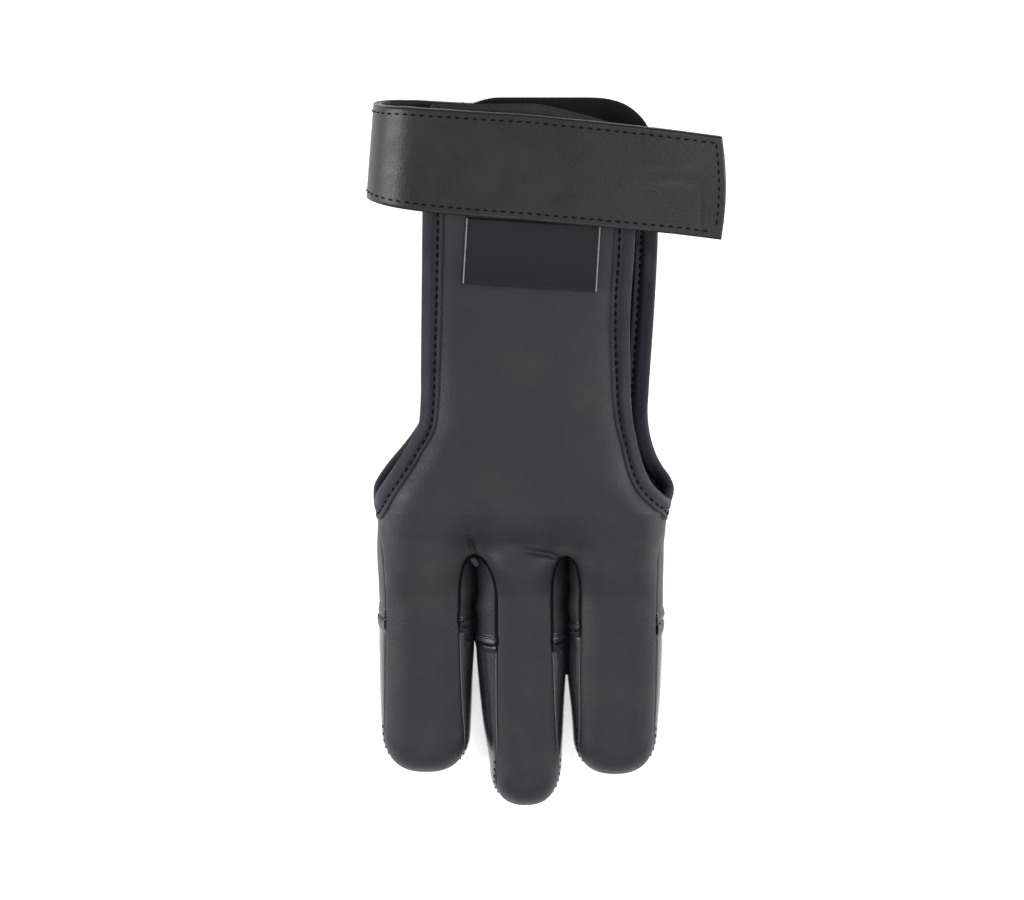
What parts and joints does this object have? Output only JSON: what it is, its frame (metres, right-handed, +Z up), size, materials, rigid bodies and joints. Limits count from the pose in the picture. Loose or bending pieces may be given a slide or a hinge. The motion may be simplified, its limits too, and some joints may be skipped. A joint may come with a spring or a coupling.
{
  "type": "archery glove",
  "caption": "Three-finger leather archery glove with smooth fingertip pads, bound side openings and a folded wrist strap, lying palm down.",
  "frame": {"origin": "middle of the footprint on the surface that the glove lies on", "axes": "+Z up from the surface through the back of the hand, +Y from the fingertips to the cuff, +X towards the strap's free end"},
  "size_m": [0.1018, 0.2066, 0.0283],
  "materials": {
    "soft_leather": "soft black nappa leather, satin, fine grain",
    "pad_leather": "smooth black leather with a slight gloss",
    "edging_leather": "thin folded black leather, satin",
    "strap_leather": "firm black leather, satin with a sheen at the fold",
    "touch_tape": "black touch tape, matte",
    "woven_cloth": "black woven satin label with no lettering"
  },
  "bodies": {
    "root": {"back_panel": "soft_leather", "palm_panel": "soft_leather", "fork_left": "soft_leather", "fork_right": "soft_leather", "tip_left": "pad_leather", "tip_middle": "pad_leather", "tip_right": "pad_leather", "binding_left": "edging_leather", "binding_right": "edging_leather", "wrist_strap": "strap_leather", "hook_patch": "touch_tape", "loop_patch": "touch_tape", "label": "woven_cloth"}
  },
  "joints": []
}
